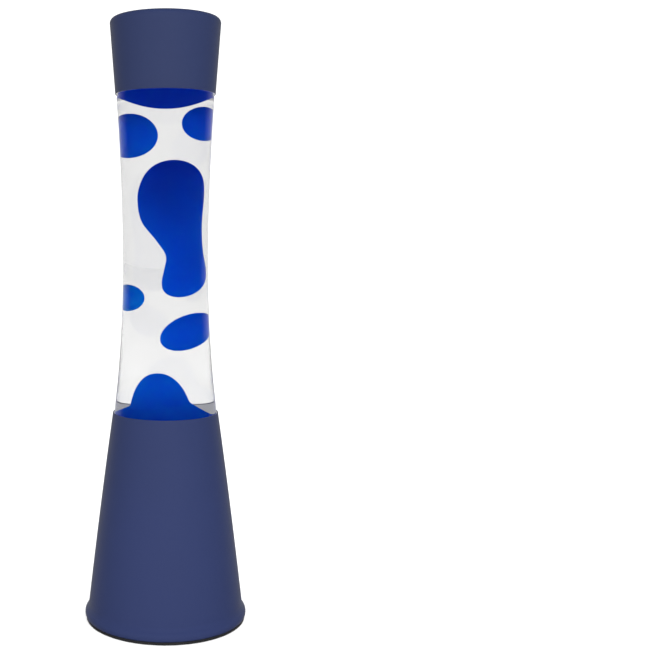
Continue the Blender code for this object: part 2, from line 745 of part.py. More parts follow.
def wax_blob(name, centre, radii, tilt, wax):
    """A rounded blob, flattened where it meets the glass. Its origin is its centre."""
    bm = bmesh.new()
    bmesh.ops.create_uvsphere(bm, u_segments=14, v_segments=9, radius=1.0)
    stretch = Matrix.Diagonal((*radii, 1.0))
    bmesh.ops.transform(bm, matrix=Matrix.Rotation(tilt, 4, "Y") @ stretch, verts=bm.verts)
    for vertex in bm.verts:
        x, y, z = vertex.co + Vector(centre)
        vertex.co = Vector(press_inside([(x, y, z)])[0]) - Vector(centre)
    item = place(name, bm, wax)
    item.location = centre
    return item


def smooth_value(height, stations, column):
    """A value at a height, on a smooth curve through one column of the stations."""
    last = len(stations) - 2
    i = next((k for k in range(last) if height < stations[k + 1][0]), last)
    slopes = []
    for k in (i, i + 1):
        before, after = stations[max(k - 1, 0)], stations[min(k + 1, last + 1)]
        slopes.append((after[column] - before[column]) / (after[0] - before[0]))
    low, high = stations[i], stations[i + 1]
    span = high[0] - low[0]
    t = (height - low[0]) / span
    return (
        (2 * t**3 - 3 * t**2 + 1) * low[column]
        + (t**3 - 2 * t**2 + t) * span * slopes[0]
        + (3 * t**2 - 2 * t**3) * high[column]
        + (t**3 - t**2) * span * slopes[1]
    )


def drawn_out_blob(name, stations, wax, steps=16, segments=16):
    """A long blob with blunt round ends, through its stations."""
    low, high = stations[0][0], stations[-1][0]
    rings = []
    for i in range(1, steps):
        share = -math.cos(math.pi * i / steps)
        level = (low + high) / 2 + share * (high - low) / 2
        middle = smooth_value(level, stations, 1)
        radius = smooth_value(level, stations, 2) * math.sqrt(1 - share**4)
        rings.append(press_inside([(x + middle, y, z) for x, y, z in circle(radius, level, segments)]))
    lofted(name, rings, wax)


def mound_height(x, y):
    """The height of the bottom wax: a dome that leans left and spreads into a pool, higher on the left."""
    across = x - DOME_MIDDLE
    inside = max(0.0, 1 - (across**2 + y**2) / DOME_RADIUS**2)
    away = math.hypot(across + DOME_LEAN * inside, y) / DOME_RADIUS
    dome = DOME_ROOT + (MOUND_TOP - DOME_ROOT) * math.sqrt(max(0.0, 1 - away**2.2))
    skirt = SKIRT_HEIGHT - SKIRT_SLOPE * (math.hypot(across, y) - SKIRT_RADIUS)
    skirt -= SKIRT_DROP * min(1.0, max(0.0, -across / SKIRT_RADIUS))
    lap = math.exp(-((x + 0.028) ** 2 + (y - 0.008) ** 2) / (2 * 0.011**2))
    return max(dome, max(skirt, POOL_LEVEL) + POOL_LAP * lap)


def wax_mound(wax):
    """The wax at the bottom: a pool that fills the bottle, with a dome rising left of the middle."""
    low = BOTTLE_FLOOR + GLASS + 0.0020 + 2 * (COIL_TURN_RADIUS + COIL_WIRE_RADIUS) + 2 * GAP + 0.0003
    rings = [circle(0.0270, low, SEGMENTS)]
    rings.append(circle(BOTTLE_FOOT_RADIUS - GLASS - 0.0008, low + 0.0030, SEGMENTS))
    edge = wall_radius(POOL_LEVEL) - WAX_CLEARANCE
    for share in (1.0, 0.88, 0.76, 0.66, 0.60, 0.56, 0.52, 0.48, 0.42, 0.34, 0.24, 0.14, 0.06):
        ring = []
        for x, y, _ in circle(edge, 0.0, SEGMENTS):
            across = DOME_MIDDLE + (x - DOME_MIDDLE) * share
            ring.append((across, y * share, mound_height(across, y * share)))
        rings.append(press_inside(ring))
    lofted("wax_mound", rings, wax)


def wax_top_pool(wax):
    """The wax that floats at the top of the bottle, bulging down into the liquid."""
    edge = wall_radius(HANGING_POOL_EDGE) - WAX_CLEARANCE - 0.0004
    outline = []
    for i in range(7):
        share = i / 6
        drop = (HANGING_POOL_EDGE - HANGING_POOL_FLOOR) * share**2.1
        outline.append((edge * share, HANGING_POOL_FLOOR + drop))
    rim = wall_radius(HANGING_POOL_TOP) - WAX_CLEARANCE - 0.0008
    outline += [(rim, HANGING_POOL_TOP), (0.0, HANGING_POOL_TOP)]
    turned("wax_top_pool", outline, wax)


def build():
    clear_scene()
    paint = look("paint", (0.045, 0.053, 0.145), 0.55, metallic=0.3)
    glass = look("glass", (0.95, 0.95, 0.95), 0.03, transmission=1.0)
    wax = look("wax", (0.0, 0.035, 0.40), 0.35)
    rubber = look("rubber", (0.015, 0.015, 0.017), 0.7)
    silicone = look("silicone", (0.75, 0.75, 0.73), 0.5)
    foam = look("foam", (0.05, 0.05, 0.05), 0.95)
    steel = look("steel", (0.55, 0.55, 0.54), 0.35, metallic=1.0)
    tin = look("tin", (0.70, 0.66, 0.55), 0.3, metallic=1.0)
    brass = look("brass", (0.72, 0.52, 0.22), 0.3, metallic=1.0)
    plastic = look("plastic", (0.80, 0.79, 0.75), 0.45)
    black = look("black_glass", (0.01, 0.01, 0.012), 0.2)
    tungsten = look("tungsten", (0.30, 0.29, 0.28), 0.4, metallic=1.0)
    brown = look("brown_sleeve", (0.16, 0.06, 0.02), 0.5)
    blue = look("blue_sleeve", (0.02, 0.10, 0.45), 0.5)

    base_shell(paint)
    inlet_grommet(rubber)
    foot_ring(rubber)
    base_plate(steel)
    plate_fixings(steel)
    bottle_seat(steel, silicone)
    holder_bracket(steel)
    bulb_holder(plastic, brass, steel)
    holder_sleeve(brass)
    bulb(glass, brass, black, tungsten, steel)
    mains_parts(plastic, steel, brown, blue)
    bottle(glass)
    crown(tin, silicone)
    cap(paint, foam)
    heating_coil(steel)

    wax_mound(wax)
    wax_top_pool(wax)
    wax_blob("wax_blob_upper_left", (-0.0185, 0.0, 0.3205), (0.0148, 0.0140, 0.0142), 0.0, wax)
    wax_blob("wax_blob_upper_right", (0.0195, 0.0, 0.3282), (0.0115, 0.0115, 0.0109), 0.0, wax)
    wax_blob("wax_blob_small_left", (-0.0200, 0.0, 0.2152), (0.0095, 0.0100, 0.0088), 0.0, wax)
    wax_blob("wax_blob_lower_right", (0.0118, 0.0, 0.1928), (0.0160, 0.0120, 0.0106), math.radians(-34), wax)
    drawn_out_blob("wax_blob_large", LARGE_BLOB, wax)


build()
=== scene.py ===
"""The looks of a lava lamp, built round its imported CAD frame. Lengths are in metres."""
import json
import math

import bmesh
import bpy
import numpy as np
from mathutils import Matrix, Vector


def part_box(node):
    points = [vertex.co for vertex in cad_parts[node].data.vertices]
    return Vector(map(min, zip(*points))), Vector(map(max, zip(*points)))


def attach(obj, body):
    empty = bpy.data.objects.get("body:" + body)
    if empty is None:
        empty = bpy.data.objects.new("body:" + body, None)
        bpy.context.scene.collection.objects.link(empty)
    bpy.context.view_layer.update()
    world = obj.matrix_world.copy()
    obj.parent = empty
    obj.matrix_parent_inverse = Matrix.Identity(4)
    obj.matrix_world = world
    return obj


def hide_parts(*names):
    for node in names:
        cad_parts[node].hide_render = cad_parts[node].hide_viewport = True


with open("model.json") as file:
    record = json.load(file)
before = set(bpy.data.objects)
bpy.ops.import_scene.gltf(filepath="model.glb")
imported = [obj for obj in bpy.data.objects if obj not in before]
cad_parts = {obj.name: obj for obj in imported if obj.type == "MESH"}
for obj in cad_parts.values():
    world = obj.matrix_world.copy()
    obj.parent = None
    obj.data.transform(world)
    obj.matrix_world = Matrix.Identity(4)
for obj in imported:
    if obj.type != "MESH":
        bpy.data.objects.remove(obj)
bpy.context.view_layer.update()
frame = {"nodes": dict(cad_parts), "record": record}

RECORD = frame["record"]
BODY_OF = {node: body for body, nodes in RECORD["behaviour"]["bodies"].items() for node in nodes}
SLOT_OF = {part["node"]: part["material_slot"] for part in RECORD["subparts"]}

# Camera, level with the upper third of the lamp and turned a little down
CAMERA_DISTANCE = 0.692
CAMERA_HEIGHT = 0.2583
CAMERA_PITCH = math.radians(5.05)
CAMERA_LENS = 58.25
CAMERA_SHIFT = 0.2454  # puts the lamp left of the middle

AROUND = 128  # steps round the large turned pieces
AROUND_SMALL = 64
CORNER = math.radians(35)  # an outline that turns more than this has a corner there
EDGE_ROUNDING = 0.00018
STRAIGHT = 3.5  # a run this much longer than its neighbour is straight

THREAD_PITCH = 0.002822
THREAD_DEPTH = 0.0008
THREAD_RADIUS = 0.0061  # at the root of the bulb's thread
THREAD_PLAY = 0.00045
COIL_RADIUS = 0.0235  # of the ring that the heating coil follows
COIL_TURN_RADIUS = 0.0021
COIL_WIRE_RADIUS = 0.0005
COIL_TURNS = 14
CROWN_TEETH = 21
LIQUID_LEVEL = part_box("wax_top_pool")[1].z + 0.0030
FLOOR_SIZE = 12.0


# ---------------------------------------------------------------- materials


class Look:
    """A Principled material with short helpers for its nodes. Textures use object coordinates, in metres."""

    def __init__(self, name, colour, roughness, **sockets):
        self.material = bpy.data.materials.new(name)
        self.material.use_nodes = True
        self.nodes = self.material.node_tree.nodes
        self.links = self.material.node_tree.links
        self.shader = self.nodes["Principled BSDF"]
        self.set("Base Color", (*colour, 1.0))
        self.set("Roughness", roughness)
        for socket, value in sockets.items():
            self.set(socket.replace("_", " "), value)
        self.place = self.nodes.new("ShaderNodeTexCoord").outputs["Object"]

    def set(self, socket, value):
        self.shader.inputs[socket].default_value = value

    def node(self, kind, inputs=None, **settings):
        made = self.nodes.new(kind)
        for name, value in settings.items():
            setattr(made, name, value)
        for key, value in (inputs or {}).items():
            if isinstance(value, bpy.types.NodeSocket):
                self.links.new(value, made.inputs[key])
            else:
                made.inputs[key].default_value = value
        return made

    def stretched(self, scale):
        return self.node("ShaderNodeMapping", {"Vector": self.place, "Scale": scale}).outputs[0]

    def noise(self, scale, detail=3.0, roughness=0.5, vector=None):
        inputs = {"Vector": vector or self.place, "Scale": scale, "Detail": detail, "Roughness": roughness}
        return self.node("ShaderNodeTexNoise", inputs).outputs["Fac"]

    def mix(self, factor, low, high, start=0.35, end=0.65):
        """A colour from low to high as a factor goes from start to end."""
        spread = self.node("ShaderNodeMapRange", {"Value": factor, "From Min": start, "From Max": end})
        made = self.node("ShaderNodeMix", {"Factor": spread.outputs[0]}, data_type="RGBA")
        made.inputs[6].default_value = (*low, 1.0)
        made.inputs[7].default_value = (*high, 1.0)
        return made.outputs[2]

    def colour(self, socket):
        self.links.new(socket, self.shader.inputs["Base Color"])

    def rough(self, factor, low, high, start=0.3, end=0.7):
        inputs = {"Value": factor, "From Min": start, "From Max": end, "To Min": low, "To Max": high}
        spread = self.node("ShaderNodeMapRange", inputs)
        self.links.new(spread.outputs[0], self.shader.inputs["Roughness"])

    def bump(self, height, distance, strength=1.0):
        inputs = {"Height": height, "Distance": distance, "Strength": strength}
        self.links.new(self.node("ShaderNodeBump", inputs).outputs[0], self.shader.inputs["Normal"])


def painted_metal():
    """Navy powder coat with a fine pebbled surface. Its colour is painted lighter towards the bottom, a painted
    bounce of light from the floor.
    """
    look = Look("paint", (0.018, 0.032, 0.122), 0.52, IOR=1.5)
    # Painted light: lighter blue low down, on the base, and darker higher up, on the cap.
    height = look.node("ShaderNodeSeparateXYZ", {0: look.place}).outputs["Z"]
    cloud = look.node("ShaderNodeMath", {0: look.noise(18.0, detail=2.0), 1: 0.25}, operation="MULTIPLY").outputs[0]
    rise = look.node("ShaderNodeMath", {0: height, 1: cloud}, operation="ADD").outputs[0]
    look.colour(look.mix(rise, (0.0114, 0.0203, 0.0770), (0.0110, 0.0188, 0.0625), 0.15, 0.50))
    pebbles = look.noise(2300.0, detail=2.0, roughness=0.6)
    look.rough(pebbles, 0.46, 0.60)
    look.bump(pebbles, 0.00006, 0.55)
    return look.material


def bare_metal(name, colour, roughness, grain=None):
    """Plated or plain metal with a rolled or drawn grain and faint clouding."""
    look = Look(name, colour, roughness, Metallic=1.0)
    cloud = look.noise(160.0, detail=4.0)
    dull = tuple(c * 0.86 for c in colour)
    look.colour(look.mix(cloud, dull, colour))
    fine = look.noise(1.0, detail=3.0, vector=look.stretched(grain or (900.0, 900.0, 5200.0)))
    look.rough(fine, roughness * 0.8, roughness * 1.25)
    look.bump(fine, 0.00002, 0.35)
    return look.material


def moulded(name, colour, roughness, bump=0.00003, scale=1800.0, **sockets):
    """Moulded plastic, rubber or foam with a fine surface."""
    look = Look(name, colour, roughness, **sockets)
    cloud = look.noise(70.0, detail=3.0)
    look.colour(look.mix(cloud, tuple(c * 0.9 for c in colour), tuple(min(1.0, c * 1.08) for c in colour)))
    fine = look.noise(scale, detail=3.0)
    look.rough(fine, roughness * 0.88, min(1.0, roughness * 1.1))
    look.bump(fine, bump, 0.6)
    return look.material


GLASS_TINT = (0.825, 0.825, 0.825)


def clear_glass(name, ior):
    """Clear glass whose surface has the faintest waviness. The wet side bends light less."""
    look = Look(name, GLASS_TINT, 0.0, IOR=ior, Transmission_Weight=1.0)
    look.bump(look.noise(45.0, detail=1.0), 0.00003, 0.25)
    return look.material


def bulb_glass():
    """A reflector bulb's envelope: silvered flanks and a frosted face."""
    look = Look("bulb_glass", (0.86, 0.86, 0.84), 0.12, Metallic=1.0)
    low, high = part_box("bulb_glass")
    height = look.node("ShaderNodeSeparateXYZ", {0: look.place}).outputs["Z"]
    edge = high.z - 0.0075
    face = look.node("ShaderNodeMapRange", {"Value": height, "From Min": edge, "From Max": edge + 0.0008}).outputs[0]
    silver = look.node("ShaderNodeMapRange", {"Value": face, "To Min": 1.0, "To Max": 0.0}).outputs[0]
    look.links.new(silver, look.shader.inputs["Metallic"])
    look.rough(face, 0.10, 0.42, 0.0, 1.0)
    look.bump(look.noise(2600.0, detail=2.0), 0.00002, 0.4)
    return look.material


def wax(name, low, high, low_height, high_height):
    """Deep blue molten wax. It lets light in, so its thin edges are brighter. Its colour is also painted lighter or
    darker with height, painted light and painted shade, so each wax look is a lit and shaded copy of one wax.
    """
    look = Look(
        name, low, 0.40, IOR=1.09, Subsurface_Weight=1.0, Subsurface_Scale=0.016
    )
    look.set("Specular IOR Level", 0.0)
    look.set("Subsurface Radius", (0.15, 0.45, 1.0))
    height = look.node("ShaderNodeSeparateXYZ", {0: look.place}).outputs["Z"]
    drift = look.noise(38.0, detail=2.0)
    level = look.node("ShaderNodeMath", {0: drift, 1: 0.05}, operation="MULTIPLY").outputs[0]
    # Painted light: the blue gets lighter or darker with height, standing in for light and shade falling on the wax.
    painted_light_height = look.node("ShaderNodeMath", {0: height, 1: level}, operation="ADD").outputs[0]
    look.colour(look.mix(painted_light_height, low, high, low_height, high_height))
    look.bump(look.noise(60.0, detail=1.0), 0.0002, 0.3)
    return look.material


def liquid_top():
    """The liquid's open surface in the bottle's shoulder."""
    look = Look("liquid_top", (1.0, 1.0, 1.0), 0.0, IOR=1.33, Transmission_Weight=1.0)
    look.bump(look.noise(80.0, detail=1.0), 0.00004, 0.2)
    return look.material


def unseen_side():
    """Where liquid lies against the wall: the wall's own surface does the bending."""
    material = bpy.data.materials.new("liquid_side")
    material.use_nodes = True
    nodes = material.node_tree.nodes
    nodes.remove(nodes["Principled BSDF"])
    through = nodes.new("ShaderNodeBsdfTransparent")
    material.node_tree.links.new(through.outputs[0], nodes["Material Output"].inputs["Surface"])
    return material


def make_looks():
    steel = bare_metal("plated_steel", (0.62, 0.62, 0.60), 0.34)
    return {
        "paint": painted_metal(),
        # Painted light: the three wax looks are lit and shaded copies of one wax; the small blobs' look is painted
        # lighter, as if lit through from behind.
        "wax": wax("wax", (0.0, 0.100, 0.84), (0.0, 0.024, 0.43), 0.240, 0.320),
        "mound_wax_painted_glow": wax("mound_wax_painted_glow", (0.0, 0.040, 0.53), (0.0, 0.120, 0.84), 0.152, 0.192),
        "small_blob_wax_painted_backlight": wax("small_blob_wax_painted_backlight", (0.0, 0.240, 1.00), (0.0, 0.062, 0.68), 0.190, 0.370),
        "bottle_glass": clear_glass("bottle_glass", 1.5),
        "wet_glass": clear_glass("wet_glass", 1.5 / 1.33),
        "liquid_top": liquid_top(),
        "liquid_side": unseen_side(),
        "rubber": moulded("rubber", (0.013, 0.013, 0.015), 0.62),
        "silicone": moulded("silicone", (0.72, 0.72, 0.69), 0.42, Subsurface_Weight=0.2, Subsurface_Scale=0.001),
        "foam": moulded("foam", (0.035, 0.035, 0.038), 0.9, bump=0.0003, scale=900.0),
        "plated_steel": steel,
        # Painted light: the lining glows although it is no lamp, lifting the shade inside the base and cap.
        "lining_painted_glow": moulded("lining_painted_glow", (0.32, 0.32, 0.315), 0.6, Emission_Strength=0.5),
        "tin": bare_metal("tin", (0.74, 0.68, 0.52), 0.28),
        "spring_steel": bare_metal("spring_steel", (0.46, 0.47, 0.49), 0.3),
        "brass": bare_metal("brass", (0.75, 0.53, 0.22), 0.28),
        "nickel": bare_metal("nickel", (0.72, 0.69, 0.62), 0.24),
        "holder_plastic": moulded("holder_plastic", (0.78, 0.76, 0.70), 0.40),
        "insulator_glass": moulded("insulator_glass", (0.010, 0.010, 0.012), 0.18, bump=0.00001),
        "bulb_glass": bulb_glass(),
        "stem_glass": clear_glass("stem_glass", 1.5),
        "tungsten": bare_metal("tungsten", (0.33, 0.32, 0.31), 0.4),
        "brown_sleeve": moulded("brown_sleeve", (0.14, 0.05, 0.018), 0.38),
        "blue_sleeve": moulded("blue_sleeve", (0.02, 0.09, 0.42), 0.38),
    }


LOOKS = make_looks()


# ---------------------------------------------------------------- outlines and meshes


def outline_of(node, sides, to_axis=None):
    """The (radius, height) outline of a turned CAD node, read across the middle of one of its flat sides.

    to_axis moves the node so that its axis is Z. Left out, the axis is upright through its box's centre.
    """
    low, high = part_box(node)
    centre = (low + high) / 2
    if to_axis is None:
        to_axis = Matrix.Translation((-centre.x, -centre.y, 0))
    angle = math.pi / sides
    along = Vector((math.cos(angle), math.sin(angle), 0))
    across = Vector((-along.y, along.x, 0))
    bm = bmesh.new()
    bm.from_mesh(frame["nodes"][node].data)
    bmesh.ops.transform(bm, matrix=to_axis, verts=bm.verts)
    bmesh.ops.remove_doubles(bm, verts=bm.verts, dist=2e-6)
    for normal, keep_plane in ((across, True), (-along, False)):
        bmesh.ops.bisect_plane(
            bm,
            geom=bm.verts[:] + bm.edges[:] + bm.faces[:],
            plane_co=(0, 0, 0),
            plane_no=normal,
            dist=1e-7,
            clear_outer=True,
            clear_inner=keep_plane,
        )
    bmesh.ops.remove_doubles(bm, verts=bm.verts, dist=2e-6)
    ends = [vertex for vertex in bm.verts if len(vertex.link_edges) == 1]
    here = min(ends, key=lambda vertex: vertex.co.z) if ends else min(bm.verts, key=lambda v: v.co.z)
    points = []
    seen = set()
    while here is not None:
        seen.add(here)
        points.append((max(0.0, here.co.dot(along)) / math.cos(angle), here.co.z))
        nearby = [edge.other_vert(here) for edge in here.link_edges]
        here = next((vertex for vertex in nearby if vertex not in seen), None)
    bm.free()
    return without_straight_points(points)


def turn_at(before, here, after):
    """How far a path turns at here, in radians."""
    first = Vector(here) - Vector(before)
    second = Vector(after) - Vector(here)
    if first.length < 1e-9 or second.length < 1e-9:
        return 0.0
    return first.angle(second)


def without_straight_points(points):
    """The outline without the points that lie on straight runs."""
    closed = points[0][0] > 1e-6 or points[-1][0] > 1e-6
    kept = []
    count = len(points)
    for i, point in enumerate(points):
        at_end = not closed and i in (0, count - 1)
        if at_end or turn_at(points[i - 1], point, points[(i + 1) % count]) > math.radians(0.15):
            kept.append(point)
    return kept


def fine_outline(points, steps=5, rounding=EDGE_ROUNDING):
    """The outline with its arcs made smooth and its corners slightly rounded."""
    closed = points[0][0] > 1e-6 or points[-1][0] > 1e-6
    count = len(points)
    spots = [Vector(point) for point in points]
    turns = [turn_at(spots[i - 1], spots[i], spots[(i + 1) % count]) for i in range(count)]
    if not closed:
        turns[0] = turns[-1] = math.pi
    fine = []
    spans = count if closed else count - 1
    for i in range(spans):
        j = (i + 1) % count
        start, end = spots[i], spots[j]
        length = (end - start).length
        if turns[i] > CORNER and start.x > 1e-6:
            before = spots[i - 1]
            reach = min(rounding, 0.35 * length, 0.35 * (start - before).length)
            first = start + (before - start).normalized() * reach
            last = start + (end - start).normalized() * reach
            for k in range(4):
                t = k / 3
                fine.append((1 - t) ** 2 * first + 2 * t * (1 - t) * start + t * t * last)
        else:
            fine.append(start)
        if turns[i] > CORNER and turns[j] > CORNER:
            continue
        tangent_in = end - start if turns[i] > CORNER else tangent(spots[i - 1], start, end) * length
        tangent_out = end - start if turns[j] > CORNER else tangent(start, end, spots[(j + 1) % count]) * length
        for k in range(1, steps):
            t = k / steps
            point = hermite(start, tangent_in, end, tangent_out, t)
            if (point - fine[-1]).length > 0.3 * rounding:
                fine.append(point)
    if not closed:
        fine.append(spots[-1])
    return [(max(0.0, point.x), point.y) for point in fine]


def tangent(before, here, after):
    """The unit direction of a smooth path at here. A run much longer than the next one is straight there."""
    first = here - before
    second = after - here
    if first.length > STRAIGHT * second.length:
        return first.normalized()
    if second.length > STRAIGHT * first.length:
        return second.normalized()
    blend = first / first.length_squared + second / second.length_squared
    return blend.normalized()


def hermite(start, tangent_in, end, tangent_out, t):
    return (
        (2 * t**3 - 3 * t**2 + 1) * start
        + (t**3 - 2 * t**2 + t) * tangent_in
        + (3 * t**2 - 2 * t**3) * end
        + (t**3 - t**2) * tangent_out
    )


def mesh_piece(name, points, faces, look, sharp=40.0):
    """An object from points and faces, with outward normals and smooth shading."""
    mesh = bpy.data.meshes.new(name)
    mesh.from_pydata([tuple(point) for point in points], [], faces)
    bm = bmesh.new()
    bm.from_mesh(mesh)
    bmesh.ops.remove_doubles(bm, verts=bm.verts, dist=1e-7)
    bmesh.ops.recalc_face_normals(bm, faces=bm.faces)
    bm.to_mesh(mesh)
    bm.free()
    mesh.shade_smooth()
    mesh.set_sharp_from_angle(angle=math.radians(sharp))
    mesh.materials.append(LOOKS[look])
    piece = bpy.data.objects.new(name, mesh)
    bpy.context.scene.collection.objects.link(piece)
    return piece


def lathe(name, outline, look, around=AROUND, shape=None, sharp=40.0):
    """A turned piece. shape can move a point: it is given (radius, height, angle) and returns (radius, height)."""
    closed = outline[0][0] > 1e-6 or outline[-1][0] > 1e-6
    points = []
    rings = []
    for radius, height in outline:
        if radius < 1e-6:
            rings.append([len(points)] * around)
            points.append((0.0, 0.0, height))
            continue
        rings.append(list(range(len(points), len(points) + around)))
        for i in range(around):
            angle = math.tau * i / around
            r, z = shape(radius, height, angle) if shape else (radius, height)
            points.append((r * math.cos(angle), r * math.sin(angle), z))
    pairs = list(zip(rings, rings[1:]))
    if closed:
        pairs.append((rings[-1], rings[0]))
    return mesh_piece(name, points, strips(pairs), look, sharp)


def strips(pairs):
    """Quads, or triangles at a pole, between pairs of rings of point numbers."""
    faces = []
    for low, high in pairs:
        count = len(low)
        for i in range(count):
            j = (i + 1) % count
            face = [low[i], low[j], high[j], high[i]]
            face = [point for k, point in enumerate(face) if point != face[k - 1]]
            if len(face) > 2:
                faces.append(face)
    return faces


def stand_for(piece, node):
    """piece replaces its CAD node and moves with the node's body."""
    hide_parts(node)
    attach(piece, BODY_OF[node])
    return piece


def refined(node, sides, around=AROUND_SMALL, rounding=EDGE_ROUNDING, shape=None):
    """A turned CAD node made again with a smooth outline and many sides."""
    outline = fine_outline(outline_of(node, sides), rounding=rounding)
    piece = lathe(node + "_fine", outline, SLOT_OF[node], around, shape)
    low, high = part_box(node)
    piece.location = ((low.x + high.x) / 2, (low.y + high.y) / 2, 0)
    return stand_for(piece, node)


def bevelled(node, width, segments=2):
    """A folded or moulded CAD node made again with its flat faces joined up and its edges rounded."""
    bm = bmesh.new()
    bm.from_mesh(frame["nodes"][node].data)
    bmesh.ops.remove_doubles(bm, verts=bm.verts, dist=2e-6)
    bmesh.ops.dissolve_limit(bm, angle_limit=math.radians(1.0), verts=bm.verts, edges=bm.edges)
    mesh = bpy.data.meshes.new(node + "_fine")
    bm.to_mesh(mesh)
    bm.free()
    mesh.materials.append(LOOKS[SLOT_OF[node]])
    piece = bpy.data.objects.new(mesh.name, mesh)
    bpy.context.scene.collection.objects.link(piece)
    bevel = piece.modifiers.new("edges", "BEVEL")
    bevel.width = width
    bevel.segments = segments
    bevel.limit_method = "ANGLE"
    bevel.angle_limit = math.radians(28)
    bevel.use_clamp_overlap = True
    bevel.harden_normals = True
    mesh.shade_smooth()
    return stand_for(piece, node)


def sweep(name, path, radius, look, sides=12, closed=False):
    """A round wire or lead along a path."""
    spots = [Vector(point) for point in path]
    count = len(spots)
    points = []
    rings = []
    side = Vector((0.31, 0.17, 0.93))
    for i, spot in enumerate(spots):
        before = spots[i - 1] if closed or i > 0 else spot
        after = spots[(i + 1) % count] if closed or i < count - 1 else spot
        ahead = (after - before).normalized()
        side = (side - ahead * side.dot(ahead)).normalized()
        up = ahead.cross(side)
        rings.append(list(range(len(points), len(points) + sides)))
        for k in range(sides):
            angle = math.tau * k / sides
            points.append(spot + radius * (math.cos(angle) * side + math.sin(angle) * up))
    pairs = list(zip(rings, rings[1:]))
    if closed:
        # the last ring may be turned against the first, so it joins at the nearest point
        start = min(range(sides), key=lambda k: (points[rings[-1][k]] - points[rings[0][0]]).length)
        pairs.append((rings[-1][start:] + rings[-1][:start], rings[0]))
    faces = strips(pairs)
    if not closed:
        faces += [rings[0], rings[-1]]
    return mesh_piece(name, points, faces, look, sharp=60.0)


# ---------------------------------------------------------------- base


def cut_away(piece, cutter):
    """Cuts a closed mesh out of a piece for good."""
    boolean = piece.modifiers.new("cut", "BOOLEAN")
    boolean.operation = "DIFFERENCE"
    boolean.solver = "EXACT"
    boolean.object = cutter
    bpy.context.view_layer.update()
    graph = bpy.context.evaluated_depsgraph_get()
    mesh = bpy.data.meshes.new_from_object(piece.evaluated_get(graph))
    piece.modifiers.clear()
    piece.data = mesh
    bpy.data.objects.remove(cutter)


def rod(radius, length, matrix, segments=48):
    """A plain cylinder for cutting with."""
    mesh = bpy.data.meshes.new("cutter")
    bm = bmesh.new()
    bmesh.ops.create_cone(
        bm, cap_ends=True, segments=segments, radius1=radius, radius2=radius, depth=length, matrix=matrix
    )
    bm.to_mesh(mesh)
    bm.free()
    cutter = bpy.data.objects.new("cutter", mesh)
    bpy.context.scene.collection.objects.link(cutter)
    return cutter


def line_inside(shell):
    """Gives the inside of a painted shell its pale primer coat, which also glows: painted light filling the shade
    inside the shell.
    """
    shell.data.materials.append(LOOKS["lining_painted_glow"])
    heights = [vertex.co.z for vertex in shell.data.vertices]
    low, high = min(heights) + 0.001, max(heights) - 0.001
    for face in shell.data.polygons:
        inward = face.normal.x * face.center.x + face.normal.y * face.center.y < -1e-5
        if inward and low < face.center.z < high:
            face.material_index = 1


def make_base():
    shell = refined("base_shell", 24, AROUND)
    low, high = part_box("inlet_grommet")
    centre = (low + high) / 2
    hole = rod(0.0046, 0.02, Matrix.Translation(centre) @ Matrix.Rotation(math.pi / 2, 4, "X"))
    cut_away(shell, hole)
    shell.data.set_sharp_from_angle(angle=math.radians(40))
    line_inside(shell)
    refined("foot_ring", 24, AROUND, rounding=0.0005)
    refined("bottle_seat", 24)
    refined("seat_gasket", 24, rounding=0.0004)
    for i in (1, 2, 3):
        bevelled(f"plate_lug_{i}", 0.0002)
    bevelled("base_plate", 0.0002)
    bevelled("holder_bracket", 0.0002)
    bevelled("terminal_block", 0.0005, 3)
    bevelled("inlet_grommet", 0.0003)


def make_screws():
    for node in [n for n in frame["nodes"] if n.startswith(("plate_screw", "bracket_screw", "terminal_screw"))]:
        piece = refined(node, 12, 32)
        low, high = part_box(node)
        face = low.z if node.startswith("plate") else high.z
        width = (high.x - low.x) * 0.62
        for turn in (0.4, 0.4 + math.pi / 2):
            place = Matrix.Translation((0, 0, face)) @ Matrix.Rotation(turn, 4, "Z")
            cut_away(piece, block(place @ Matrix.Diagonal((width, width * 0.2, 0.0014, 1)), piece.location))


def block(matrix, location):
    """A plain box for cutting with."""
    mesh = bpy.data.meshes.new("cutter")
    bm = bmesh.new()
    bmesh.ops.create_cube(bm, size=1.0, matrix=matrix)
    bm.to_mesh(mesh)
    bm.free()
    cutter = bpy.data.objects.new("cutter", mesh)
    cutter.location = location
    bpy.context.scene.collection.objects.link(cutter)
    return cutter


def threaded(node, low, high, radius, depth, rest):
    """A tube with a round-form thread from low to high. A depth below nothing cuts it into the radius.

    rest is the outline from the thread's top round to its foot.
    """
    steps = round((high - low) / THREAD_PITCH * 16)
    run = [(radius, low + (high - low) * i / steps) for i in range(steps + 1)]

    def wave(r, z, angle):
        if r != radius:
            return r, z
        fade = max(0.0, min(1.0, 2 * (z - low) / THREAD_PITCH, 2 * (high - z) / THREAD_PITCH))
        turn = math.cos(math.tau * z / THREAD_PITCH - angle)
        crest = (1 + turn) / 2 if depth > 0 else (1 - turn) / 2
        return r + depth * crest * fade, z

    piece = lathe(node + "_fine", run + rest, SLOT_OF[node], 96, wave)
    return stand_for(piece, node)


def make_bulb_holder():
    refined("bulb_holder", 16)
    refined("holder_bolt", 16)
    refined("holder_contact", 12, 32)
    bevelled("holder_nut", 0.0003)
    low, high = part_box("holder_sleeve")
    outside = high.x
    groove = THREAD_RADIUS + THREAD_DEPTH + THREAD_PLAY
    rest = [(outside, high.z), (outside, low.z)]
    threaded("holder_sleeve", low.z, high.z, groove, -THREAD_DEPTH, rest)


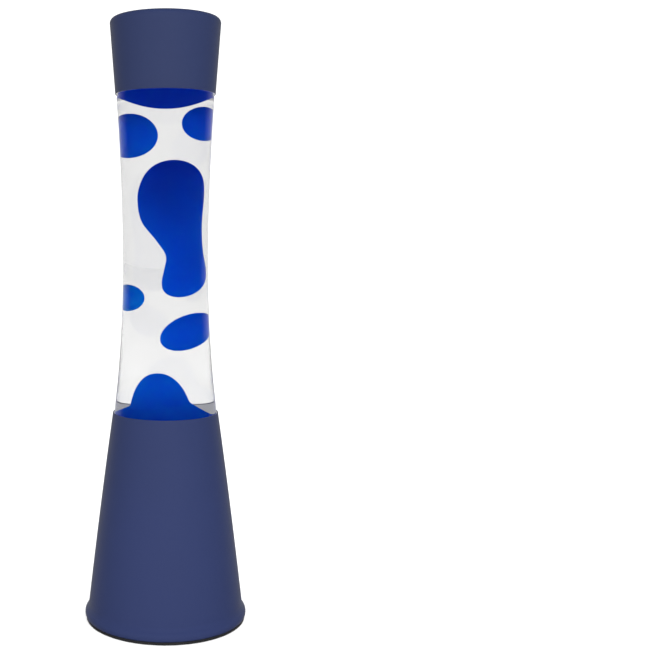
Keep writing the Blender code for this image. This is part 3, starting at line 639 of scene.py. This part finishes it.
def make_bulb():
    for node, sides, around in (
        ("bulb_glass", 16, AROUND_SMALL),
        ("bulb_insulator", 16, AROUND_SMALL),
        ("bulb_tip_contact", 12, 32),
        ("bulb_stem", 12, 32),
    ):
        refined(node, sides, around)
    low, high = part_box("bulb_screw_shell")
    thread_top = high.z - 0.0044
    bore = THREAD_RADIUS - 0.0005
    rest = [
        (THREAD_RADIUS + 0.0002, thread_top + 0.0008),
        (0.0077, high.z - 0.0005),
        (0.0078, high.z - 0.0003),
        (0.0074, high.z),
        (bore + 0.0008, high.z),
        (bore, high.z - 0.0036),
        (bore, low.z),
    ]
    threaded("bulb_screw_shell", low.z, thread_top, THREAD_RADIUS, THREAD_DEPTH, rest)
    make_filament()


def make_filament():
    """A fine coil that sags a little between its two supports."""
    low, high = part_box("filament")
    reach = high.x - 0.0001
    height = high.z - 0.0007
    path = []
    for i in range(361):
        along = i / 180 - 1
        angle = math.tau * along * 14
        sag = 0.0012 * (1 - along**2)
        path.append((reach * along, 0.0006 * math.cos(angle), height - sag + 0.0006 * math.sin(angle)))
    stand_for(sweep("filament_fine", path, 0.0001, SLOT_OF["filament"], sides=6), "filament")


# ---------------------------------------------------------------- bottle


def make_bottle():
    """The bottle, with its outside, its wet inside and its dry inside each bending light by its own amount."""
    outline = fine_outline(outline_of("bottle_glass", 24), steps=6, rounding=0.0004)
    piece = lathe("bottle_glass_fine", outline, "bottle_glass", AROUND)
    piece.data.materials.append(LOOKS["wet_glass"])
    low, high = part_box("bottle_glass")
    for face in piece.data.polygons:
        centre = face.center
        middle = Vector((0, 0, min(max(centre.z, low.z + 0.02), high.z - 0.06)))
        if (middle - centre).dot(face.normal) > 0 and centre.z < LIQUID_LEVEL:
            face.material_index = 1
    stand_for(piece, "bottle_glass")
    return outline


BOTTLE_OUTLINE = make_bottle()


def inner_wall():
    """Heights and radii up the inside of the bottle, from the middle of its floor."""
    low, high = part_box("bottle_glass")
    inside = []
    count = len(BOTTLE_OUTLINE)
    for i, (radius, height) in enumerate(BOTTLE_OUTLINE):
        before = Vector(BOTTLE_OUTLINE[max(i - 1, 0)])
        after = Vector(BOTTLE_OUTLINE[min(i + 1, count - 1)])
        along = (after - before).normalized()
        to_middle = Vector((0, min(max(height, low.z + 0.02), high.z - 0.06))) - Vector((radius, height))
        outward = Vector((along.y, -along.x))
        if outward.dot(to_middle) > 0:
            inside.append((radius, height))
    inside.sort(key=lambda point: (point[1], point[0]))
    return inside


WALL_INSIDE = inner_wall()


def wall_radius(height):
    """The inside radius of the bottle at a height between its heel and its neck."""
    upright = [point for point in WALL_INSIDE if point[0] > 0.5 * WALL_INSIDE[-1][0]]
    return float(np.interp(height, [z for _, z in upright], [r for r, _ in upright]))


def make_liquid():
    """The clear liquid, from the floor of the bottle to its level in the shoulder."""
    gap = 0.00003
    outline = []
    for radius, height in WALL_INSIDE:
        if height < LIQUID_LEVEL - gap:
            outline.append((max(0.0, radius - gap), height + gap))
    outline.append((wall_radius(LIQUID_LEVEL) - gap, LIQUID_LEVEL))
    outline.append((wall_radius(LIQUID_LEVEL) - 0.0012, LIQUID_LEVEL - 0.0004))
    outline.append((0.0, LIQUID_LEVEL - 0.0005))
    if outline[0][0] > 1e-6:
        outline.insert(0, (0.0, outline[0][1]))
    piece = lathe("liquid", outline, "liquid_side", AROUND)
    piece.data.materials.append(LOOKS["liquid_top"])
    for face in piece.data.polygons:
        if face.normal.z > 0.7 and face.center.z > LIQUID_LEVEL - 0.002:
            face.material_index = 1
    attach(piece, "bottle")


def make_heating_coil():
    """A wire wound round a ring on the bottle's floor."""
    low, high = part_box("heating_coil")
    middle = (low.z + high.z) / 2
    count = COIL_TURNS * 24
    path = []
    for i in range(count):
        round_ring = math.tau * i / count
        round_turn = math.tau * i / 24
        reach = COIL_RADIUS + COIL_TURN_RADIUS * math.cos(round_turn)
        level = middle + COIL_TURN_RADIUS * math.sin(round_turn)
        path.append((reach * math.cos(round_ring), reach * math.sin(round_ring), level))
    piece = sweep("heating_coil_fine", path, COIL_WIRE_RADIUS, SLOT_OF["heating_coil"], sides=10, closed=True)
    stand_for(piece, "heating_coil")


def make_crown():
    """The crown cap, its skirt crimped round the bottle's mouth, and its liner."""
    low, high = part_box("crown_cap")

    def crimp(r, z, angle):
        strength = max(0.0, 1 - (z - low.z) / 0.0055) if r > 0.012 else 0.0
        return r * (1 + 0.022 * strength * math.cos(CROWN_TEETH * angle)), z

    refined("crown_cap", 16, CROWN_TEETH * 12, shape=crimp)
    refined("crown_liner", 16)


# ---------------------------------------------------------------- wax

WAX_GAP = 0.0003
BLOB_GAP = 0.00056  # more, because a blob keeps clear of the wall as it drifts

POOL_LEVEL = 0.1300
SKIRT_RADIUS = 0.0150  # where the wax under the dome starts to spread
SKIRT_HEIGHT = 0.1450
SKIRT_SLOPE = 0.88
SKIRT_DROP = 0.0045  # how much lower it starts on the left
POOL_LAP = 0.0042  # how far the pool laps up the glass on the left
POOL_BLEND = 0.0018
DOME_MIDDLE = Vector((-0.0025, 0.0))
DOME_LEAN = 0.0014
DOME_RADIUS = 0.0156
DOME_ROOT = 0.1330
HANGING_DEPTH = 0.0121

LARGE_BLOB = [
    (0.2157, 0.0068, 0.0165),
    (0.2250, 0.0090, 0.0140),
    (0.2340, 0.0100, 0.0114),
    (0.2430, 0.0097, 0.0097),
    (0.2530, 0.0068, 0.0115),
    (0.2650, 0.0032, 0.0149),
    (0.2800, 0.0026, 0.0167),
    (0.2950, 0.0038, 0.0179),
    (0.3050, 0.0044, 0.0190),
]


def pressed(x, y, z, gap=WAX_GAP):
    """The point moved in from the wall, so that wax lies against the glass without touching it."""
    reach = math.hypot(x, y)
    most = wall_radius(z) - gap
    if reach <= most:
        return x, y, z
    return x * most / reach, y * most / reach, z


# The small blobs' default look is the wax painted lighter, a painted backlight.
def blob(node, centre, radii, tilt=0.0, look="small_blob_wax_painted_backlight", around=72, up=48):
    """A rounded blob that flattens where it meets the glass."""
    points = [(0.0, 0.0, -1.0)]
    rings = [[0] * around]
    for i in range(1, up):
        rise = math.pi * i / up
        rings.append(list(range(len(points), len(points) + around)))
        for k in range(around):
            angle = math.tau * k / around
            points.append((math.sin(rise) * math.cos(angle), math.sin(rise) * math.sin(angle), -math.cos(rise)))
    rings.append([len(points)] * around)
    points.append((0.0, 0.0, 1.0))
    turn = Matrix.Translation(centre) @ Matrix.Rotation(tilt, 4, "Y") @ Matrix.Diagonal((*radii, 1.0))
    placed = [pressed(*(turn @ Vector(point)), BLOB_GAP) for point in points]
    piece = mesh_piece(node + "_fine", placed, strips(zip(rings, rings[1:])), look)
    return stand_for(piece, node)


def smooth_value(height, stations, column):
    """A value at a height, on a smooth curve through one column of the stations."""
    heights = [station[0] for station in stations]
    values = [station[column] for station in stations]
    i = min(max(int(np.searchsorted(heights, height)) - 1, 0), len(heights) - 2)
    slopes = []
    for k in (i, i + 1):
        before, after = max(k - 1, 0), min(k + 1, len(heights) - 1)
        slopes.append((values[after] - values[before]) / (heights[after] - heights[before]))
    span = heights[i + 1] - heights[i]
    t = (height - heights[i]) / span
    return (
        (2 * t**3 - 3 * t**2 + 1) * values[i]
        + (t**3 - 2 * t**2 + t) * span * slopes[0]
        + (3 * t**2 - 2 * t**3) * values[i + 1]
        + (t**3 - t**2) * span * slopes[1]
    )


def drawn_out(node, stations, around=72, up=80):
    """A long blob with blunt round ends. Each station is (height, x of its middle, radius there)."""
    low, high = stations[0][0], stations[-1][0]
    points = []
    rings = []
    for i in range(up + 1):
        share = -math.cos(math.pi * i / up)
        level = (low + high) / 2 + share * (high - low) / 2
        middle = smooth_value(level, stations, 1)
        if i in (0, up):
            rings.append([len(points)] * around)
            points.append((middle, 0.0, level))
            continue
        radius = smooth_value(level, stations, 2) * math.sqrt(1 - share**4)
        rings.append(list(range(len(points), len(points) + around)))
        for k in range(around):
            angle = math.tau * k / around
            points.append(pressed(middle + radius * math.cos(angle), radius * math.sin(angle), level))
    piece = mesh_piece(node + "_fine", points, strips(zip(rings, rings[1:])), "wax")
    return stand_for(piece, node)


def make_mound(around=120, steps=110):
    """The wax at the bottom: a pool that fills the bottle, with a dome rising left of the middle."""
    low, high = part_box("wax_mound")
    points = [(0.0, 0.0, low.z)]
    rings = [[0] * around]
    for level, share in ((low.z, 0.60), (low.z, 0.90), (low.z + 0.0008, 0.97), (low.z + 0.003, 1.0)):
        rings.append(list(range(len(points), len(points) + around)))
        radius = (wall_radius(level) - WAX_GAP) * share
        for k in range(around):
            angle = math.tau * k / around
            points.append((radius * math.cos(angle), radius * math.sin(angle), level))
    for i in range(steps):
        share = 1 - i / steps
        rings.append(list(range(len(points), len(points) + around)))
        for k in range(around):
            angle = math.tau * k / around
            rim = (wall_radius(POOL_LEVEL) - WAX_GAP) * Vector((math.cos(angle), math.sin(angle)))
            spot = DOME_MIDDLE + (rim - DOME_MIDDLE) * share**1.15
            points.append(pressed(spot.x, spot.y, mound_height(spot.x, spot.y, high.z)))
    rings.append([len(points)] * around)
    points.append((*DOME_MIDDLE, mound_height(*DOME_MIDDLE, high.z)))
    # The mound's look is the wax painted lighter higher up: painted light.
    piece = mesh_piece("wax_mound_fine", points, strips(zip(rings, rings[1:])), "mound_wax_painted_glow", sharp=80.0)
    stand_for(piece, "wax_mound")


def mound_height(x, y, top):
    """The height of the bottom wax: a dome that leans left and spreads into a pool, higher on the left."""
    across = x - DOME_MIDDLE.x
    inside = max(0.0, 1 - (across**2 + y**2) / DOME_RADIUS**2)
    away = math.hypot(across + DOME_LEAN * inside, y) / DOME_RADIUS
    dome = DOME_ROOT + (top - DOME_ROOT) * math.sqrt(max(0.0, 1 - away**2.2))
    skirt = SKIRT_HEIGHT - SKIRT_SLOPE * (math.hypot(across, y) - SKIRT_RADIUS)
    skirt -= SKIRT_DROP * min(1.0, max(0.0, -across / SKIRT_RADIUS))
    lap = math.exp(-((x + 0.028) ** 2 + (y - 0.008) ** 2) / (2 * 0.011**2))
    pool = max(skirt, POOL_LEVEL) + POOL_LAP * lap
    return max(dome, pool) + POOL_BLEND * math.exp(-abs(dome - pool) / POOL_BLEND) / 2


def make_top_pool():
    """The wax that hangs under the liquid's surface and bulges down."""
    low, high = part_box("wax_top_pool")
    edge_height = low.z + HANGING_DEPTH
    edge = wall_radius(edge_height) - WAX_GAP
    outline = []
    for i in range(31):
        share = i / 30
        outline.append((edge * share, low.z + (edge_height - low.z) * share**2.1))
    for share in (0.3, 0.6, 0.85):
        level = edge_height + (high.z - edge_height) * share
        outline.append((wall_radius(level) - WAX_GAP, level))
    outline += [(wall_radius(high.z) - WAX_GAP - 0.001, high.z), (0.0, high.z)]
    piece = lathe("wax_top_pool_fine", outline, "wax", 96)
    stand_for(piece, "wax_top_pool")


def make_wax():
    blob("wax_blob_upper_left", (-0.0185, 0.0, 0.3205), (0.0148, 0.0140, 0.0142))
    blob("wax_blob_upper_right", (0.0195, 0.0, 0.3282), (0.0115, 0.0115, 0.0109))
    blob("wax_blob_small_left", (-0.0200, 0.0, 0.2152), (0.0095, 0.0100, 0.0088))
    blob("wax_blob_lower_right", (0.0118, 0.0, 0.1928), (0.0160, 0.0120, 0.0106), math.radians(-34), "wax")
    drawn_out("wax_blob_large", LARGE_BLOB)
    make_mound()
    make_top_pool()


# ---------------------------------------------------------------- cap


def make_cap():
    line_inside(refined("cap_shell", 24, AROUND, rounding=0.0002))
    refined("cap_foam_pad", 24, rounding=0.0008)


# ---------------------------------------------------------------- stage


def make_stage():
    bpy.ops.mesh.primitive_plane_add(size=FLOOR_SIZE, location=(0, 0, -0.0002))
    floor = bpy.context.object
    floor.name = "floor"
    look = bpy.data.materials.new("floor")
    look.use_nodes = True
    shader = look.node_tree.nodes["Principled BSDF"]
    shader.inputs["Base Color"].default_value = (0.97, 0.97, 0.97, 1)
    shader.inputs["Roughness"].default_value = 0.9
    shader.inputs["Specular IOR Level"].default_value = 0.1
    floor.data.materials.append(look)
    floor.visible_glossy = False


def make_world():
    """Even white light from all round, with the dark side of a studio in front for reflections only."""
    world = bpy.data.worlds.new("studio")
    world.use_nodes = True
    bpy.context.scene.world = world
    nodes = world.node_tree.nodes
    links = world.node_tree.links
    background = nodes["Background"]
    direction = nodes.new("ShaderNodeTexCoord")
    parts = nodes.new("ShaderNodeSeparateXYZ")
    links.new(direction.outputs["Generated"], parts.inputs[0])
    front = nodes.new("ShaderNodeMapRange")
    front.inputs["From Min"].default_value = 0.30
    front.inputs["From Max"].default_value = 1.0
    front.inputs["To Min"].default_value = 0.0
    front.inputs["To Max"].default_value = 0.66
    links.new(parts.outputs["Y"], front.inputs["Value"])
    path = nodes.new("ShaderNodeLightPath")
    opaque = nodes.new("ShaderNodeMath")
    opaque.operation = "SUBTRACT"
    opaque.use_clamp = True
    links.new(path.outputs["Is Glossy Ray"], opaque.inputs[0])
    links.new(path.outputs["Is Transmission Ray"], opaque.inputs[1])
    mirrored = nodes.new("ShaderNodeMix")
    mirrored.inputs[2].default_value = 1.0
    links.new(opaque.outputs[0], mirrored.inputs[0])
    links.new(front.outputs[0], mirrored.inputs[3])
    background.inputs["Color"].default_value = (1, 1, 1, 1)
    strength = nodes.new("ShaderNodeMath")
    strength.operation = "MULTIPLY"
    strength.inputs[1].default_value = 1.25
    links.new(mirrored.outputs[0], strength.inputs[0])
    links.new(strength.outputs[0], background.inputs["Strength"])


def make_front_light():
    """A large soft box above and a little right of the camera, too soft to be seen in the glass."""
    data = bpy.data.lights.new("front", "AREA")
    data.shape = "RECTANGLE"
    data.size = 1.2
    data.size_y = 1.2
    data.energy = 55
    light = bpy.data.objects.new("front", data)
    light.location = (0.20, -1.9, 1.0)
    light.rotation_euler = (Vector((0, 0, 0.2)) - light.location).to_track_quat("-Z", "Y").to_euler()
    light.visible_glossy = False
    light.visible_transmission = False
    bpy.context.scene.collection.objects.link(light)


def make_camera():
    data = bpy.data.cameras.new("camera")
    data.lens = CAMERA_LENS
    data.sensor_width = 36
    data.shift_x = CAMERA_SHIFT
    camera = bpy.data.objects.new("camera", data)
    camera.location = (0, -CAMERA_DISTANCE, CAMERA_HEIGHT)
    camera.rotation_euler = (math.pi / 2 - CAMERA_PITCH, 0, 0)
    bpy.context.scene.collection.objects.link(camera)
    bpy.context.scene.camera = camera


make_base()
make_screws()
make_bulb_holder()
make_bulb()
make_heating_coil()
make_crown()
make_liquid()
make_wax()
make_cap()
make_stage()
make_world()
make_front_light()
make_camera()
bpy.context.scene.view_settings.view_transform = "Standard"
for name, node in frame["nodes"].items():
    node.data.materials.clear()
    node.data.materials.append(LOOKS[SLOT_OF[name]])
